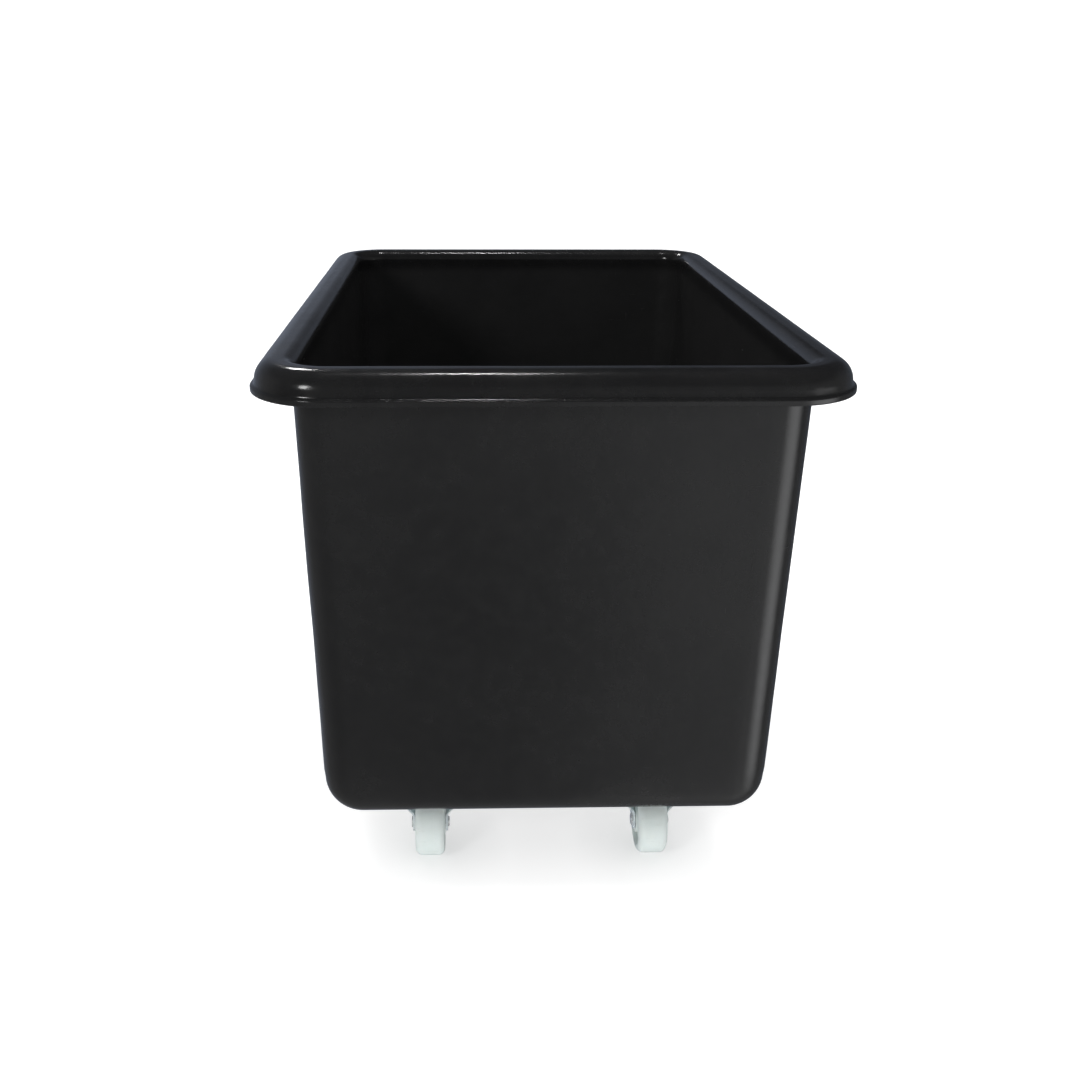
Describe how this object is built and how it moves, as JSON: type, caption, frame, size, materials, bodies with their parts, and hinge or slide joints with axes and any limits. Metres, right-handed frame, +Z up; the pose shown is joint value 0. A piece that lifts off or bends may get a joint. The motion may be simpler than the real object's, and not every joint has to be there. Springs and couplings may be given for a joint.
{
  "type": "rolling plastic tub",
  "caption": "Deep open-topped rectangular tub with a rolled rim, standing on swivel castors with plain nylon wheels.",
  "frame": {"origin": "on the floor, under the centre of the tub", "axes": "+Z up, +Y along the tub's length, +X across its width; the castors trail towards -Y"},
  "size_m": [0.6, 0.9, 0.632],
  "materials": {
    "black_polyethylene": "satin black moulded polyethylene with a fine uneven skin",
    "zinc_pressing": "bright zinc plated pressed steel",
    "zinc_fastener": "bright zinc plated",
    "bearing_steel": "ground hardened steel",
    "white_nylon": "satin natural white nylon",
    "bearing_cage_plastic": "plain black nylon"
  },
  "bodies": {
    "tub": {"tub": "black_polyethylene", "castor_bolts": "zinc_fastener", "castor_bolt_washers": "zinc_fastener", "castor_nuts": "zinc_fastener", "upper_race_balls": "bearing_steel", "lower_race_balls": "bearing_steel", "front_left_top_plate": "zinc_pressing", "front_left_dust_ring": "zinc_pressing", "front_left_king_pin": "zinc_fastener", "front_left_lower_race": "zinc_pressing", "front_right_top_plate": "zinc_pressing", "front_right_dust_ring": "zinc_pressing", "front_right_king_pin": "zinc_fastener", "front_right_lower_race": "zinc_pressing", "rear_left_top_plate": "zinc_pressing", "rear_left_dust_ring": "zinc_pressing", "rear_left_king_pin": "zinc_fastener", "rear_left_lower_race": "zinc_pressing", "rear_right_top_plate": "zinc_pressing", "rear_right_dust_ring": "zinc_pressing", "rear_right_king_pin": "zinc_fastener", "rear_right_lower_race": "zinc_pressing"},
    "front_left_swivel": {"front_left_fork": "zinc_pressing", "front_left_axle_sleeve": "bearing_steel", "front_left_thrust_washers": "zinc_fastener", "front_left_axle_rivet": "zinc_fastener"},
    "front_left_wheel": {"front_left_wheel": "white_nylon", "front_left_bearing_rollers": "bearing_steel", "front_left_bearing_cage": "bearing_cage_plastic"},
    "front_right_swivel": {"front_right_fork": "zinc_pressing", "front_right_axle_sleeve": "bearing_steel", "front_right_thrust_washers": "zinc_fastener", "front_right_axle_rivet": "zinc_fastener"},
    "front_right_wheel": {"front_right_wheel": "white_nylon", "front_right_bearing_rollers": "bearing_steel", "front_right_bearing_cage": "bearing_cage_plastic"},
    "rear_left_swivel": {"rear_left_fork": "zinc_pressing", "rear_left_axle_sleeve": "bearing_steel", "rear_left_thrust_washers": "zinc_fastener", "rear_left_axle_rivet": "zinc_fastener"},
    "rear_left_wheel": {"rear_left_wheel": "white_nylon", "rear_left_bearing_rollers": "bearing_steel", "rear_left_bearing_cage": "bearing_cage_plastic"},
    "rear_right_swivel": {"rear_right_fork": "zinc_pressing", "rear_right_axle_sleeve": "bearing_steel", "rear_right_thrust_washers": "zinc_fastener", "rear_right_axle_rivet": "zinc_fastener"},
    "rear_right_wheel": {"rear_right_wheel": "white_nylon", "rear_right_bearing_rollers": "bearing_steel", "rear_right_bearing_cage": "bearing_cage_plastic"}
  },
  "joints": [
    {"name": "front_left_swivel", "type": "hinge", "parent": "tub", "child": "front_left_swivel", "pos_m": [-0.134, -0.262, 0.09], "axis": [0, 0, 1], "continuous": true},
    {"name": "front_left_roll", "type": "hinge", "parent": "front_left_swivel", "child": "front_left_wheel", "pos_m": [-0.134, -0.298, 0.04], "axis": [1, 0, 0], "continuous": true},
    {"name": "front_right_swivel", "type": "hinge", "parent": "tub", "child": "front_right_swivel", "pos_m": [0.134, -0.262, 0.09], "axis": [0, 0, 1], "continuous": true},
    {"name": "front_right_roll", "type": "hinge", "parent": "front_right_swivel", "child": "front_right_wheel", "pos_m": [0.134, -0.298, 0.04], "axis": [1, 0, 0], "continuous": true},
    {"name": "rear_left_swivel", "type": "hinge", "parent": "tub", "child": "rear_left_swivel", "pos_m": [-0.134, 0.262, 0.09], "axis": [0, 0, 1], "continuous": true},
    {"name": "rear_left_roll", "type": "hinge", "parent": "rear_left_swivel", "child": "rear_left_wheel", "pos_m": [-0.134, 0.226, 0.04], "axis": [1, 0, 0], "continuous": true},
    {"name": "rear_right_swivel", "type": "hinge", "parent": "tub", "child": "rear_right_swivel", "pos_m": [0.134, 0.262, 0.09], "axis": [0, 0, 1], "continuous": true},
    {"name": "rear_right_roll", "type": "hinge", "parent": "rear_right_swivel", "child": "rear_right_wheel", "pos_m": [0.134, 0.226, 0.04], "axis": [1, 0, 0], "continuous": true}
  ]
}
